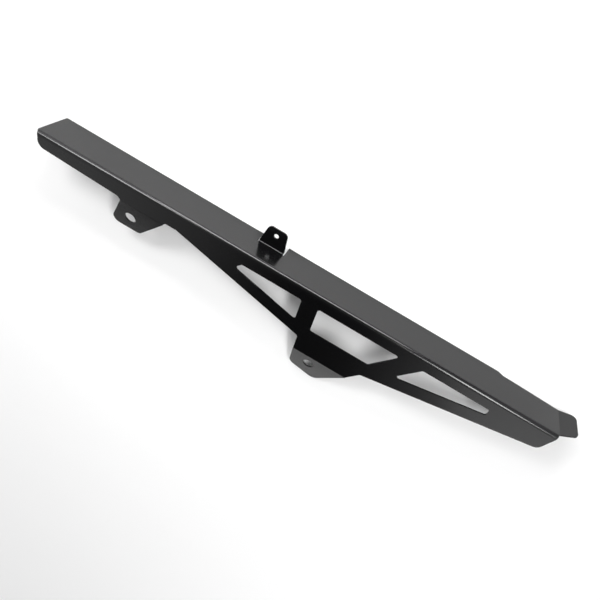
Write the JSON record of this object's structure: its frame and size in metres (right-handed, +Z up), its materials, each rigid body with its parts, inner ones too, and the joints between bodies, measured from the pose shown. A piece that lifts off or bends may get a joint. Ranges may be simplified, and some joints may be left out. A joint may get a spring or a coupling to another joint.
{
  "type": "motorcycle chain guard",
  "caption": "Folded sheet-metal guard that covers a drive chain's upper run: an L section with a pierced side panel, bent fixing tabs and a turned-up lip.",
  "frame": {"origin": "centre of the bounding box at its bottom, on the surface that the guard lies on", "axes": "+X along the long fold, towards the end with the turned-up lip; +Z up as the guard lies at rest on the flange's far edge and the tip of the middle tab; +Y towards the flange"},
  "size_m": [0.5802, 0.1272, 0.0413],
  "materials": {
    "powder_coat": "satin"
  },
  "bodies": {
    "root": {"chain_guard": "powder_coat"}
  },
  "joints": []
}
